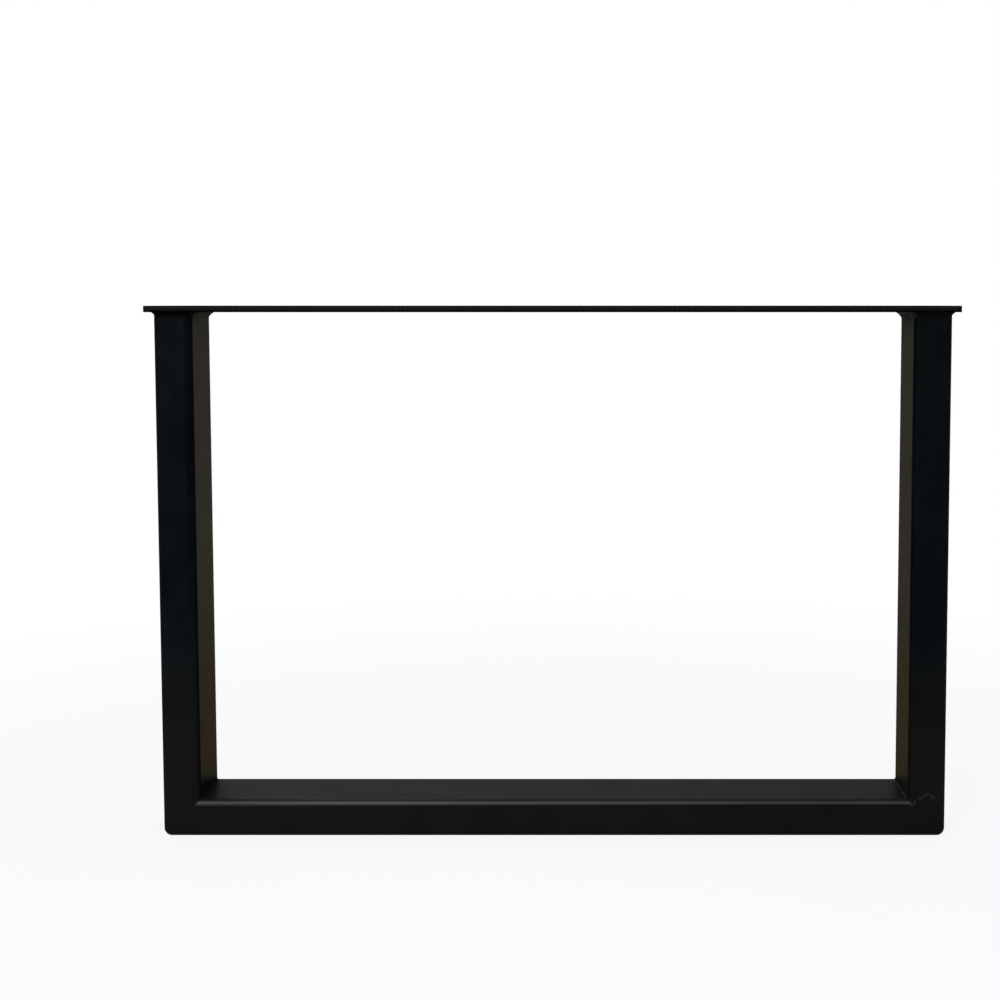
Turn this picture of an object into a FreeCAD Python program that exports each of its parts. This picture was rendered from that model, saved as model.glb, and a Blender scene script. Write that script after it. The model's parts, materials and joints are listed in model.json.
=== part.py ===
"""U-shaped table leg of rectangular steel tube, welded under a flat mounting plate.

The frame is two uprights and a floor rail of one tube section, mitred at the floor
corners. A drilled plate closes the top. X runs along the width, the front faces -Y
and +Z is up. The origin lies on the floor, midway along the rail.
"""

import FreeCAD, Part
import math
import os

import Sketcher

DRIVING_SIZES = {
    # Frame
    "frame_width": 620.0,
    "frame_height": 415.0,
    "tube_depth": 60.0,
    "tube_face": 30.0,
    "tube_wall": 2.5,
    "tube_corner_radius": 5.0,
    "tube_bore_radius": 2.5,
    "ground_corner_radius": 5.0,
    # Mounting plate
    "plate_thickness": 5.0,
    "plate_end_overhang": 5.0,
    "plate_side_overhang": 10.0,
    "plate_corner_radius": 3.0,
    "plate_edge_radius": 0.5,
    # Screw holes
    "hole_diameter": 8.5,
    "hole_end_spacing": 480.0,
    "hole_row_spacing": 50.0,
    # Beads under the plate and in the inner floor corners
    "plate_bead_inner_leg": 5.5,
    "plate_bead_side_leg": 3.0,
    "plate_bead_outer_leg": 2.5,
    "plate_bead_height": 4.5,
    "plate_bead_toe": 0.3,
    "corner_bead_leg": 2.0,
    "corner_bead_hollow_radius": 4.0,
}

HOLE_COLUMNS = 3

# Rough drawing sizes, before the dimensions of a sketch pull it to its real size
ROUGH_REACH = 20.0
ROUGH_RADIUS = 4.0

# How Sketcher names the root point of a sketch and the places on an edge
ROOT = (-1, 1)
START = 1
END = 2
CENTRE = 3

doc = FreeCAD.newDocument("u_shaped_table_leg")


def add_sheet():
    """Writes each driving size as a plain number beside its name, and gives it an alias."""
    sheet = doc.addObject("Spreadsheet::Sheet", "sizes")
    for row, (name, value) in enumerate(DRIVING_SIZES.items(), start=1):
        sheet.set(f"A{row}", name)
        sheet.set(f"B{row}", str(value))
        sheet.setAlias(f"B{row}", name)
    doc.recompute()


def sheet_formula(text):
    """Turns a formula in plain size names into one that reads the sheet."""
    words = text.split()
    return " ".join(f"sizes.{word}" if word in DRIVING_SIZES else word for word in words)


def bind(item, **formulas):
    """Ties properties of a document object to formulas on the sheet."""
    for path, text in formulas.items():
        item.setExpression(path.replace("__", "."), sheet_formula(text))


def new_body(name):
    body = doc.addObject("PartDesign::Body", name)
    body.Label = name
    return body


def origin_item(body, role):
    return next(feature for feature in body.Origin.OriginFeatures if feature.Role == role)


def new_sketch(body, name, plane, **offsets):
    """Adds a sketch on one of the body's own planes, with offsets along its own x, y or z."""
    sketch = body.newObject("Sketcher::SketchObject", f"{body.Name}_{name}")
    sketch.AttachmentSupport = [(origin_item(body, plane), "")]
    sketch.MapMode = "FlatFace"
    for axis, text in offsets.items():
        bind(sketch, **{f"AttachmentOffset__Base__{axis}": text})
    return sketch


def measured(sketch, kind, references):
    """Reads the size that a dimension has in the rough drawing."""
    if kind == "Radius":
        return sketch.Geometry[references[0]].Radius
    first = sketch.getPoint(*references[:2])
    second = sketch.getPoint(*references[2:])
    return second.x - first.x if kind == "DistanceX" else second.y - first.y


def dimension(sketch, kind, references, formula):
    """Adds a dimension to the rough drawing and lets a formula on the sheet drive it."""
    value = measured(sketch, kind, references)
    index = sketch.addConstraint(Sketcher.Constraint(kind, *references, value))
    sketch.setExpression(f"Constraints[{index}]", sheet_formula(formula))


def join(sketch, kind, first, second):
    """Joins the end of one edge to the start of the next, tangent or merely coincident."""
    sketch.addConstraint(Sketcher.Constraint(kind, first, END, second, START))


def draw_line(sketch, start, end):
    line = Part.LineSegment(FreeCAD.Vector(*start, 0), FreeCAD.Vector(*end, 0))
    return sketch.addGeometry(line)


def draw_arc(sketch, centre, radius, start_angle, end_angle):
    circle = Part.Circle(FreeCAD.Vector(*centre, 0), FreeCAD.Vector(0, 0, 1), radius)
    arc = Part.ArcOfCircle(circle, math.radians(start_angle), math.radians(end_angle))
    return sketch.addGeometry(arc)


def rounded_rectangle(sketch, left, right, low, high, radius):
    """Draws a rectangle with round corners, dimensioned from the root point to each side."""
    reach = ROUGH_REACH
    straight = reach - ROUGH_RADIUS
    bottom_line = draw_line(sketch, (-straight, -reach), (straight, -reach))
    right_line = draw_line(sketch, (reach, -straight), (reach, straight))
    top_line = draw_line(sketch, (straight, reach), (-straight, reach))
    left_line = draw_line(sketch, (-reach, straight), (-reach, -straight))
    lines = [bottom_line, right_line, top_line, left_line]
    corners = [(straight, -straight), (straight, straight), (-straight, straight), (-straight, -straight)]
    arcs = []
    for quarter, corner in enumerate(corners):
        start_angle = 90 * quarter - 90
        arcs.append(draw_arc(sketch, corner, ROUGH_RADIUS, start_angle, start_angle + 90))
    for position, arc in enumerate(arcs):
        join(sketch, "Tangent", lines[position], arc)
        join(sketch, "Tangent", arc, lines[(position + 1) % 4])
    for line in (bottom_line, top_line):
        sketch.addConstraint(Sketcher.Constraint("Horizontal", line))
    for line in (left_line, right_line):
        sketch.addConstraint(Sketcher.Constraint("Vertical", line))
    for arc in arcs[1:]:
        sketch.addConstraint(Sketcher.Constraint("Equal", arcs[0], arc))
    dimension(sketch, "Radius", (arcs[0],), radius)
    dimension(sketch, "DistanceX", (left_line, START, *ROOT), left)
    dimension(sketch, "DistanceX", (*ROOT, right_line, START), right)
    dimension(sketch, "DistanceY", (bottom_line, START, *ROOT), low)
    dimension(sketch, "DistanceY", (*ROOT, top_line, START), high)


def tube_outline(sketch, across, along, radius="tube_corner_radius", inset="0"):
    """Draws the outline of the tube section, centred, or of its bore at an inset."""
    rounded_rectangle(
        sketch,
        left=f"{across} / 2 - {inset}",
        right=f"{across} / 2 - {inset}",
        low=f"{along} / 2 - {inset}",
        high=f"{along} / 2 - {inset}",
        radius=radius,
    )


def pad(body, name, profile, length, both_ways=False):
    feature = body.newObject("PartDesign::Pad", f"{body.Name}_{name}")
    feature.Profile = profile
    feature.SideType = "Symmetric" if both_ways else "One side"
    bind(feature, Length=length)
    return feature


def cut(body, name, profile, both_ways=False):
    """Cuts a profile right through the body, one way along the sketch or both."""
    feature = body.newObject("PartDesign::Pocket", f"{body.Name}_{name}")
    feature.Profile = profile
    feature.SideType = "Symmetric" if both_ways else "One side"
    feature.Type = "ThroughAll"
    return feature


def extrude_tube(body, section, across, along, length, both_ways=False):
    """Draws the tube section with its bore and extrudes it."""
    tube_outline(section, across, along)
    tube_outline(section, across, along, radius="tube_bore_radius", inset="tube_wall")
    pad(body, "tube", section, length, both_ways)


def mitre_profile(sketch, corner_x, corner_z, turned):
    """Draws the triangle that the mitre takes off, from the outer corner of the frame.

    The long side is the mitre. The upright loses what lies below it, and the rail,
    which is turned, loses what lies above.
    """
    size = ROUGH_REACH
    left = -size
    if turned:
        points = [(left, 0), (0, size), (left, size)]
    else:
        points = [(left, 0), (0, 0), (0, size)]
    edges = [draw_line(sketch, points[n], points[(n + 1) % 3]) for n in range(3)]
    for position, edge in enumerate(edges):
        join(sketch, "Coincident", edge, edges[(position + 1) % 3])
    flat_edge = edges[1] if turned else edges[0]
    upright_edge = edges[2] if turned else edges[1]
    sketch.addConstraint(Sketcher.Constraint("Horizontal", flat_edge))
    sketch.addConstraint(Sketcher.Constraint("Vertical", upright_edge))
    sketch.addConstraint(Sketcher.Constraint("Equal", flat_edge, upright_edge))
    dimension(sketch, "DistanceX", (edges[0], START, *ROOT), corner_x)
    sketch.addConstraint(Sketcher.Constraint("PointOnObject", edges[0], START, ROOT[0]))
    dimension(sketch, "DistanceY", (*ROOT, upright_edge, START if turned else END), corner_z)


def ground_corner_profile(sketch, corner_x):
    """Draws what grinding takes off the outer corner: a square corner outside a quarter circle."""
    radius = ROUGH_RADIUS
    left = -ROUGH_REACH
    floor_edge = draw_line(sketch, (left, 0), (left + radius, 0))
    arc = draw_arc(sketch, (left + radius, radius), radius, 180, 270)
    side_edge = draw_line(sketch, (left, radius), (left, 0))
    sketch.addConstraint(Sketcher.Constraint("Coincident", side_edge, END, floor_edge, START))
    sketch.addConstraint(Sketcher.Constraint("Tangent", floor_edge, END, arc, END))
    sketch.addConstraint(Sketcher.Constraint("Tangent", arc, START, side_edge, START))
    sketch.addConstraint(Sketcher.Constraint("Horizontal", floor_edge))
    sketch.addConstraint(Sketcher.Constraint("Vertical", side_edge))
    sketch.addConstraint(Sketcher.Constraint("PointOnObject", floor_edge, START, ROOT[0]))
    dimension(sketch, "Radius", (arc,), "ground_corner_radius")
    dimension(sketch, "DistanceX", (floor_edge, START, *ROOT), corner_x)


def add_upright(name, side, turn):
    """Adds an upright with its mitre at the floor, facing inwards on its side of the frame."""
    body = new_body(name)
    section = new_sketch(body, "section", "XY_Plane")
    extrude_tube(body, section, "tube_face", "tube_depth", "frame_height")
    mitre = new_sketch(body, "mitre", "XZ_Plane")
    mitre_profile(mitre, corner_x="tube_face / 2", corner_z="tube_face", turned=False)
    cut(body, "mitre_cut", mitre, both_ways=True)
    corner = new_sketch(body, "ground_corner", "XZ_Plane")
    ground_corner_profile(corner, corner_x="tube_face / 2")
    cut(body, "ground_corner_cut", corner, both_ways=True)
    body.Placement.Rotation = FreeCAD.Rotation(FreeCAD.Vector(0, 0, 1), turn)
    bind(body, Placement__Base__x=f"{side} * ( frame_width - tube_face ) / 2")
    return body


def add_bottom_rail():
    """Adds the floor rail, mitred and ground alike at both ends."""
    body = new_body("bottom_rail")
    section = new_sketch(body, "section", "YZ_Plane", y="tube_face / 2")
    extrude_tube(body, section, "tube_depth", "tube_face", "frame_width", both_ways=True)
    mitre = new_sketch(body, "mitre", "XZ_Plane")
    mitre_profile(mitre, corner_x="frame_width / 2", corner_z="tube_face", turned=True)
    mitre_cut = cut(body, "mitre_cut", mitre, both_ways=True)
    corner = new_sketch(body, "ground_corner", "XZ_Plane")
    ground_corner_profile(corner, corner_x="frame_width / 2")
    corner_cut = cut(body, "ground_corner_cut", corner, both_ways=True)
    other_end = body.newObject("PartDesign::Mirrored", "bottom_rail_other_end")
    other_end.Originals = [mitre_cut, corner_cut]
    other_end.MirrorPlane = (origin_item(body, "YZ_Plane"), [""])
    body.Tip = other_end
    return body


def add_mounting_plate():
    """Adds the flat plate on top, with eased edges and two rows of screw holes."""
    body = new_body("mounting_plate")
    outline = new_sketch(body, "outline", "XY_Plane")
    rounded_rectangle(
        outline,
        left="frame_width / 2 + plate_end_overhang",
        right="frame_width / 2 + plate_end_overhang",
        low="tube_depth / 2 + plate_side_overhang",
        high="tube_depth / 2 + plate_side_overhang",
        radius="plate_corner_radius",
    )
    flat = pad(body, "flat", outline, "plate_thickness")
    doc.recompute()
    broad_faces = [
        f"Face{number}"
        for number, face in enumerate(flat.Shape.Faces, start=1)
        if abs(face.normalAt(0, 0).z) > 0.5
    ]
    eased = body.newObject("PartDesign::Fillet", "mounting_plate_eased_edges")
    eased.Base = (flat, broad_faces)
    bind(eased, Radius="plate_edge_radius")

    column = new_sketch(body, "hole_column", "XY_Plane")
    for row in (-1, 1):
        centre = FreeCAD.Vector(-ROUGH_REACH, row * ROUGH_REACH, 0)
        hole = column.addGeometry(Part.Circle(centre, FreeCAD.Vector(0, 0, 1), ROUGH_RADIUS))
        dimension(column, "Radius", (hole,), "hole_diameter / 2")
        dimension(column, "DistanceX", (hole, CENTRE, *ROOT), "hole_end_spacing / 2")
        upwards = (*ROOT, hole, CENTRE) if row > 0 else (hole, CENTRE, *ROOT)
        dimension(column, "DistanceY", upwards, "hole_row_spacing / 2")
    holes = cut(body, "first_holes", column, both_ways=True)
    columns = body.newObject("PartDesign::LinearPattern", "mounting_plate_hole_columns")
    columns.Originals = [holes]
    columns.Direction = (origin_item(body, "X_Axis"), [""])
    columns.Occurrences = HOLE_COLUMNS
    bind(columns, Length="hole_end_spacing")
    body.Tip = columns
    bind(body, Placement__Base__z="frame_height")
    return body


def add_plate_bead(name, side, turn):
    """Adds the fillet bead round the top of an upright, widest on the inner side.

    It is a loft from a thin toe on the tube to the legs that lie on the plate, with
    the tube's own outline cut out of it.
    """
    body = new_body(name)
    toe = new_sketch(body, "toe", "XY_Plane", z="0 - plate_bead_height")
    rounded_rectangle(
        toe,
        left="tube_face / 2 + plate_bead_toe",
        right="tube_face / 2 + plate_bead_toe",
        low="tube_depth / 2 + plate_bead_toe",
        high="tube_depth / 2 + plate_bead_toe",
        radius="tube_corner_radius + plate_bead_toe",
    )
    legs = new_sketch(body, "legs", "XY_Plane")
    rounded_rectangle(
        legs,
        left="tube_face / 2 + plate_bead_outer_leg",
        right="tube_face / 2 + plate_bead_inner_leg",
        low="tube_depth / 2 + plate_bead_side_leg",
        high="tube_depth / 2 + plate_bead_side_leg",
        radius="tube_corner_radius + plate_bead_side_leg",
    )
    loft = body.newObject("PartDesign::AdditiveLoft", f"{name}_loft")
    loft.Profile = toe
    loft.Sections = [legs]
    tube = new_sketch(body, "tube", "XY_Plane")
    tube_outline(tube, "tube_face", "tube_depth")
    cut(body, "tube_cut", tube, both_ways=True)
    body.Placement.Rotation = FreeCAD.Rotation(FreeCAD.Vector(0, 0, 1), turn)
    bind(
        body,
        Placement__Base__x=f"{side} * ( frame_width - tube_face ) / 2",
        Placement__Base__z="frame_height",
    )
    return body


def add_corner_bead(name, side, turn):
    """Adds the hollow fillet bead that lies in an inner floor corner, front to back."""
    body = new_body(name)
    section = new_sketch(body, "section", "XZ_Plane")
    leg = ROUGH_RADIUS
    floor_edge = draw_line(section, (0, 0), (leg, 0))
    hollow = draw_arc(section, (2 * leg, 2 * leg), math.hypot(leg, 2 * leg), 180 + 26.6, 270 - 26.6)
    side_edge = draw_line(section, (0, leg), (0, 0))
    section.addConstraint(Sketcher.Constraint("Coincident", floor_edge, START, *ROOT))
    section.addConstraint(Sketcher.Constraint("Coincident", side_edge, END, *ROOT))
    section.addConstraint(Sketcher.Constraint("Coincident", floor_edge, END, hollow, END))
    section.addConstraint(Sketcher.Constraint("Coincident", hollow, START, side_edge, START))
    section.addConstraint(Sketcher.Constraint("Horizontal", floor_edge))
    section.addConstraint(Sketcher.Constraint("Vertical", side_edge))
    section.addConstraint(Sketcher.Constraint("Equal", floor_edge, side_edge))
    dimension(section, "Radius", (hollow,), "corner_bead_hollow_radius")
    dimension(section, "DistanceX", (*ROOT, floor_edge, END), "corner_bead_leg")
    pad(body, "bead", section, "tube_depth - 2 * tube_corner_radius", both_ways=True)
    body.Placement.Rotation = FreeCAD.Rotation(FreeCAD.Vector(0, 0, 1), turn)
    bind(
        body,
        Placement__Base__x=f"{side} * ( frame_width / 2 - tube_face )",
        Placement__Base__z="tube_face",
    )
    return body


def check_document(bodies):
    """Stops with a plain message if anything failed to build."""
    for item in doc.Objects:
        if "Invalid" in item.State or "Error" in item.State:
            raise RuntimeError(f"{item.Name} failed to build")
        if item.isDerivedFrom("Sketcher::SketchObject") and not item.FullyConstrained:
            raise RuntimeError(f"{item.Name} is not fully constrained")
    for body in bodies:
        if body.Shape.isNull() or not body.Shape.isValid():
            raise RuntimeError(f"{body.Label} has no valid shape")


def write_parts(bodies):
    os.makedirs("parts", exist_ok=True)
    for body in bodies:
        body.Shape.exportStep(f"parts/{body.Label}.step")
        box = body.Shape.BoundBox
        low = f"({box.XMin:.2f}, {box.YMin:.2f}, {box.ZMin:.2f})"
        high = f"({box.XMax:.2f}, {box.YMax:.2f}, {box.ZMax:.2f})"
        print(f"{body.Label}: {len(body.Shape.Solids)} solid, {body.Shape.Volume:.1f} mm3, {low} to {high}")


def main():
    add_sheet()
    bodies = [add_mounting_plate(), add_bottom_rail()]
    for word, side, turn in (("left", -1, 0), ("right", 1, 180)):
        bodies.append(add_upright(f"{word}_upright", side, turn))
        bodies.append(add_plate_bead(f"{word}_plate_weld", side, turn))
        bodies.append(add_corner_bead(f"{word}_corner_weld", side, turn))
    doc.recompute()
    check_document(bodies)
    write_parts(bodies)


main()
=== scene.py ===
"""Dresses a U-shaped steel table leg: mitred tube frame, mounting plate and weld beads.

X runs along the leg's width, the front faces -Y and +Z is up, all in metres.
"""

import json
import math

import bmesh
import bpy
from bpy.props import FloatProperty, FloatVectorProperty, IntProperty, PointerProperty
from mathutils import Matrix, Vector, noise


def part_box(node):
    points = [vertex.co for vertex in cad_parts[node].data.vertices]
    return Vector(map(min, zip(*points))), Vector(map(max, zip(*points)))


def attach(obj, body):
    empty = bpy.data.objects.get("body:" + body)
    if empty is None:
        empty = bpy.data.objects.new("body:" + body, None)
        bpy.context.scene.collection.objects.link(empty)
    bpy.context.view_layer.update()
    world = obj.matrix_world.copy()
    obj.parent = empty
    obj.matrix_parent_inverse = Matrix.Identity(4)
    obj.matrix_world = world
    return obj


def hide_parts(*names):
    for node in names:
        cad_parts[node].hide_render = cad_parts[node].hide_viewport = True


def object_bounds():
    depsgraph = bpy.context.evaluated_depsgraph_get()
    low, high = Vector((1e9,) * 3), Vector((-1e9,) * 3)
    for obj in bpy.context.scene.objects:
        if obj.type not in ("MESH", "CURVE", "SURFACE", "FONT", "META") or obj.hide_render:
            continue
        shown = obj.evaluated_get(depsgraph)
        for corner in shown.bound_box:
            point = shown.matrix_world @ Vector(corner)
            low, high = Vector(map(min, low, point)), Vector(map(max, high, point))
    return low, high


bl_info = {
    "name": "U-Shaped Table Leg",
    "version": (1, 0, 0),
    "blender": (4, 5, 0),
    "location": "View3D > Sidebar > Table Leg",
    "description": "Builds a welded tube table leg with its finish, light and camera",
    "category": "Add Mesh",
}

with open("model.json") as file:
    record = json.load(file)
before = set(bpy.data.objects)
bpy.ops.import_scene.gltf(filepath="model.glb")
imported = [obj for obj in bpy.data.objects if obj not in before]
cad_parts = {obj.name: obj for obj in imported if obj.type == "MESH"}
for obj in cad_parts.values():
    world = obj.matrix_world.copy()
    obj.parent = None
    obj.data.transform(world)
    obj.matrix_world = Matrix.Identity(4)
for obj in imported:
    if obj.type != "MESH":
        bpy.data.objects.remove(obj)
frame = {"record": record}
CAD_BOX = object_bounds()

PLATE_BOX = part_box("mounting_plate")
RAIL_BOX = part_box("bottom_rail")
UPRIGHT_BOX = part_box("left_upright")
MOUNTS = {mount["name"]: mount for mount in frame["record"]["mounts"]}
SCREW_DIMS = MOUNTS["plate_screws_outer"]["dims"]

# Distances of an upright's sides from the middle, and heights above the floor
OUTER_X = -UPRIGHT_BOX[0][0]
INNER_X = -UPRIGHT_BOX[1][0]
RAIL_TOP = RAIL_BOX[1][2]
PLATE_LOW = PLATE_BOX[0][2]
PLATE_HIGH = PLATE_BOX[1][2]

MILLIMETRE = 0.001
SIDES = (("left", -1), ("right", 1))


# Sizes and colours that a user would change

class TubeSizes(bpy.types.PropertyGroup):
    """Section of the tube and the way its corners are finished."""

    face: FloatProperty(
        name="Face", description="Width of the tube as seen from the front",
        default=RAIL_BOX[1][2] - RAIL_BOX[0][2], unit="LENGTH")
    depth: FloatProperty(
        name="Depth", description="Depth of the tube from front to back",
        default=RAIL_BOX[1][1] - RAIL_BOX[0][1], unit="LENGTH")
    wall: FloatProperty(
        name="Wall", description="Wall thickness of the tube", default=0.0025, unit="LENGTH")
    edge_radius: FloatProperty(
        name="Edge radius", description="Radius of the tube's long edges",
        default=0.005, unit="LENGTH")
    bore_radius: FloatProperty(
        name="Bore radius", description="Radius of the edges inside the tube",
        default=0.0025, unit="LENGTH")
    ground_radius: FloatProperty(
        name="Ground radius", description="Radius to which the outer floor corners are ground",
        default=0.0064, unit="LENGTH")
    edge_steps: IntProperty(
        name="Edge steps", description="Facets round each long edge", default=14, min=3)


class PlateSizes(bpy.types.PropertyGroup):
    """Edges and screw holes of the mounting plate."""

    corner_radius: FloatProperty(
        name="Corner radius", description="Radius of the plate's four corners in plan",
        default=0.003, unit="LENGTH")
    edge_radius: FloatProperty(
        name="Edge radius", description="Radius of the plate's eased edges",
        default=0.0005, unit="LENGTH")
    hole_radius: FloatProperty(
        name="Hole radius", description="Radius of the screw holes",
        default=SCREW_DIMS["hole_r_mm"] * MILLIMETRE, unit="LENGTH")
    end_spacing: FloatProperty(
        name="End spacing", description="Distance along the plate between the end holes",
        default=SCREW_DIMS["spacing_x_mm"] * MILLIMETRE, unit="LENGTH")
    row_spacing: FloatProperty(
        name="Row spacing", description="Distance across the plate between the two rows",
        default=SCREW_DIMS["spacing_y_mm"] * MILLIMETRE, unit="LENGTH")
    hole_columns: IntProperty(
        name="Hole columns", description="Columns of screw holes along the plate",
        default=3, min=2)


class BeadSizes(bpy.types.PropertyGroup):
    """Size and surface of the weld beads."""

    inner_leg: FloatProperty(
        name="Inner leg", description="Leg of the bead under the plate, on the inner side",
        default=0.0052, unit="LENGTH")
    side_leg: FloatProperty(
        name="Side leg", description="Leg of the bead under the plate, front and back",
        default=0.0029, unit="LENGTH")
    outer_leg: FloatProperty(
        name="Outer leg", description="Leg of the bead under the plate, on the outer side",
        default=0.0022, unit="LENGTH")
    corner_leg: FloatProperty(
        name="Corner leg", description="Leg of the bead in an inner floor corner",
        default=0.0013, unit="LENGTH")
    ripple_pitch: FloatProperty(
        name="Ripple pitch", description="Distance between two ripples of a bead",
        default=0.0019, unit="LENGTH")
    ripple_height: FloatProperty(
        name="Ripple height", description="Height of a ripple above the bead",
        default=0.0003, unit="LENGTH")
    heavy_side: FloatProperty(
        name="Heavy side", description="How much heavier the right upright's plate bead is",
        default=1.2, min=0.5, max=1.3)
    sample_step: FloatProperty(
        name="Sample step", description="Distance between two sections of the mesh",
        default=0.0004, unit="LENGTH")
    profile_steps: IntProperty(
        name="Profile steps", description="Facets across a bead", default=10, min=4)


class CoatLook(bpy.types.PropertyGroup):
    """Colours and gloss of the powder coat, with its painted light and shade."""

    dark: FloatVectorProperty(
        name="Dark", description="Pigment where it is deepest", subtype="COLOR",
        default=(0.0003, 0.0014, 0.0019))
    light: FloatVectorProperty(
        name="Light", description="Pigment where it is palest", subtype="COLOR",
        default=(0.0019, 0.0033, 0.0041))
    # Painted bounce light: a paler, warmer pigment near the floor stands in for light thrown up from it
    painted_bounce: FloatVectorProperty(
        name="Dust", description="Pigment under the film of dust near the floor",
        subtype="COLOR", default=(0.0057, 0.0053, 0.0048))
    # Painted reflected light: paler, warm pigments on the inner sides stand in for warm light reflected
    # there, differing by side and near the rail
    left_inside_painted_light: FloatVectorProperty(
        name="Left inside", description="Pigment on the left upright's inner side",
        subtype="COLOR", default=(0.0350, 0.0283, 0.0168))
    left_inside_low_painted_light: FloatVectorProperty(
        name="Left inside low", description="Pigment on the same side near the floor rail",
        subtype="COLOR", default=(0.0320, 0.0222, 0.0112))
    right_inside_painted_light: FloatVectorProperty(
        name="Right inside", description="Pigment on the right upright's inner side",
        subtype="COLOR", default=(0.0318, 0.0272, 0.0160))
    right_inside_low_painted_light: FloatVectorProperty(
        name="Right inside low", description="Pigment on the same side near the floor rail",
        subtype="COLOR", default=(0.0385, 0.0298, 0.0150))
    plain: FloatVectorProperty(
        name="Plain", description="Pigment on top of the rail and the plate, and on the outer sides",
        subtype="COLOR", default=(0.0060, 0.0058, 0.0055))
    # Paler pigment on the plate's edge; low on the edge it gives way to painted shade
    plate: FloatVectorProperty(
        name="Plate edge", description="Pigment on the plate's edge, where the powder is thick",
        subtype="COLOR", default=(0.0081, 0.0076, 0.0068))
    # Painted shade: near-black pigment on the bends beside the opening, low on the plate's edge and in
    # the beads' hollows
    painted_shade: FloatVectorProperty(
        name="Thin", description="Pigment where the powder is thin, in corners and on tight bends",
        subtype="COLOR", default=(0.0003, 0.0003, 0.0003))
    # Painted shade in the inner floor corners, and in the beads' hollows there and on the right
    corner: FloatVectorProperty(
        name="Corner", description="Pigment in the inner floor corners and in the beads' hollows",
        subtype="COLOR", default=(0.0050, 0.0046, 0.0042))
    # Painted glints: pale pigment on a bead's high spots, where its gloss would catch the light
    painted_glint: FloatVectorProperty(
        name="Spatter", description="Pigment on the high spots of a bead",
        subtype="COLOR", default=(0.040, 0.038, 0.031))
    scuff: FloatVectorProperty(
        name="Scuff", description="Colour of the rubbed marks beside the right mitre",
        subtype="COLOR", default=(0.024, 0.025, 0.024))
    pigment_roughness: FloatProperty(
        name="Pigment roughness", description="Mean roughness of the pigment", default=0.6,
        min=0.0, max=1.0, subtype="FACTOR")
    resin: FloatProperty(
        name="Resin", description="Gloss of the resin on the front and back", default=0.065,
        min=0.0, max=1.0, subtype="FACTOR")
    resin_inside: FloatProperty(
        name="Resin inside", description="Gloss on the faces that look into the opening",
        default=0.052, min=0.0, max=1.0, subtype="FACTOR")
    resin_top: FloatProperty(
        name="Resin on top", description="Gloss on top of the rail and the plate",
        default=0.125, min=0.0, max=1.0, subtype="FACTOR")
    resin_bend: FloatProperty(
        name="Resin on bend", description="Gloss along the rail's front bend, where resin flows smooth",
        default=0.53, min=0.0, max=1.0, subtype="FACTOR")
    resin_plate: FloatProperty(
        name="Resin on plate", description="Gloss on the plate's edge",
        default=0.03, min=0.0, max=1.0, subtype="FACTOR")
    resin_roughness: FloatProperty(
        name="Resin roughness", description="Roughness of the resin", default=0.42,
        min=0.0, max=1.0, subtype="FACTOR")


class StageLook(bpy.types.PropertyGroup):
    """Floor, light and camera."""

    floor_colour: FloatVectorProperty(
        name="Floor", description="Colour of the pale floor", subtype="COLOR",
        default=(0.93, 0.93, 0.93))
    floor_lift: FloatProperty(
        name="Floor lift", description="How far the floor beside the leg turns to plain white",
        default=0.86, min=0.0, max=1.0, subtype="FACTOR")
    sky_strength: FloatProperty(
        name="Sky strength", description="Strength of the soft light from all sides",
        default=0.4, min=0.0)
    key_colour: FloatVectorProperty(
        name="Key colour", description="Colour of the two front softboxes", subtype="COLOR",
        default=(0.86, 1.0, 1.16), max=2.0)
    key_power: FloatProperty(
        name="Key power", description="Power of the front softbox", default=7.0,
        unit="POWER", min=0.0)
    fill_power: FloatProperty(
        name="Fill power", description="Power of the wide strip along the front", default=14.0,
        unit="POWER", min=0.0)
    back_colour: FloatVectorProperty(
        name="Back colour", description="Colour of the softbox behind", subtype="COLOR",
        default=(1.0, 0.96, 0.82))
    back_power: FloatProperty(
        name="Back power", description="Power of the softbox behind", default=6.0,
        unit="POWER", min=0.0)
    camera_distance: FloatProperty(
        name="Camera distance", description="Distance of the camera in front of the leg",
        default=1.271, unit="LENGTH")
    camera_side: FloatProperty(
        name="Camera side", description="How far right of the middle the camera stands",
        default=0.0418, unit="LENGTH")
    camera_height: FloatProperty(
        name="Camera height", description="Height of the camera above the floor",
        default=0.4218, unit="LENGTH")
    camera_pitch: FloatProperty(
        name="Camera pitch", description="How far the camera looks down",
        default=math.radians(4.194), unit="ROTATION")
    lens: FloatProperty(
        name="Lens", description="Focal length in millimetres", default=57.6)
    shift_x: FloatProperty(
        name="Shift X", description="Sideways shift of the picture", default=-0.1069)
    shift_y: FloatProperty(
        name="Shift Y", description="Upward shift of the picture", default=-0.0793)


# Mesh helpers

CREASE_ANGLE = math.radians(35)
LEVEL_NORMAL = 0.9999
QUARTER_TURN = math.pi / 2
QUARTER_SIGNS = ((1, -1), (1, 1), (-1, 1), (-1, -1))


def new_piece(name, vertices, faces):
    """Makes a closed mesh object with smooth sides and crisp ends."""
    mesh = bpy.data.meshes.new(name)
    mesh.from_pydata(vertices, [], faces)
    builder = bmesh.new()
    builder.from_mesh(mesh)
    bmesh.ops.recalc_face_normals(builder, faces=builder.faces)
    builder.to_mesh(mesh)
    builder.free()
    return finish_piece(name, mesh)


def finish_piece(name, mesh):
    """Shades a mesh smooth up to its real edges, keeps level faces flat and adds it to the scene."""
    mesh.shade_smooth()
    mesh.set_sharp_from_angle(angle=CREASE_ANGLE)
    for face in mesh.polygons:
        if abs(face.normal.z) > LEVEL_NORMAL:
            face.use_smooth = False
    piece = bpy.data.objects.new(name, mesh)
    bpy.context.scene.collection.objects.link(piece)
    return piece


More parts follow.
